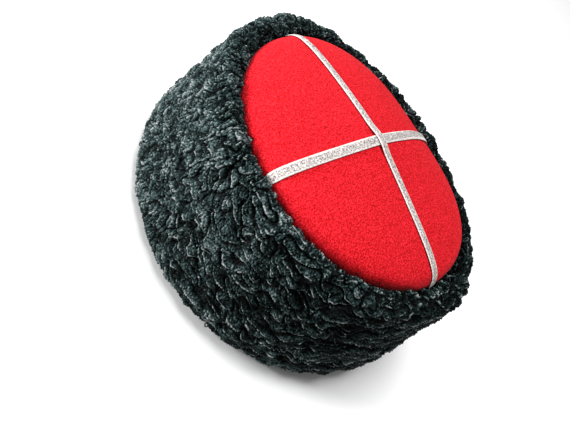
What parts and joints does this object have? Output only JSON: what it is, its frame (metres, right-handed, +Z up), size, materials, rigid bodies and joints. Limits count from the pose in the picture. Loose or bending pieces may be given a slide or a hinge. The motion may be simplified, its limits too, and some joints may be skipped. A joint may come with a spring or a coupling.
{
  "type": "papakha",
  "caption": "Low papakha hat: a curly black lambskin band with a rolled rim, a domed red cloth crown sunk in it and silver braids crossed on the crown.",
  "frame": {"origin": "middle of the hem, on the surface that the hat stands on", "axes": "+Z up through the crown, -Y towards the front of the head, +X to the side on which the rim stands higher"},
  "size_m": [0.215, 0.2236, 0.1088],
  "materials": {
    "lambskin": "tight glossy curls of black karakul lambskin",
    "red_cloth": "napped red wool cloth",
    "silver_braid": "flat woven silver-white braid"
  },
  "bodies": {
    "root": {"fur_band": "lambskin", "crown_cloth": "red_cloth", "braid_crosswise": "silver_braid", "braid_lengthwise": "silver_braid"}
  },
  "joints": []
}
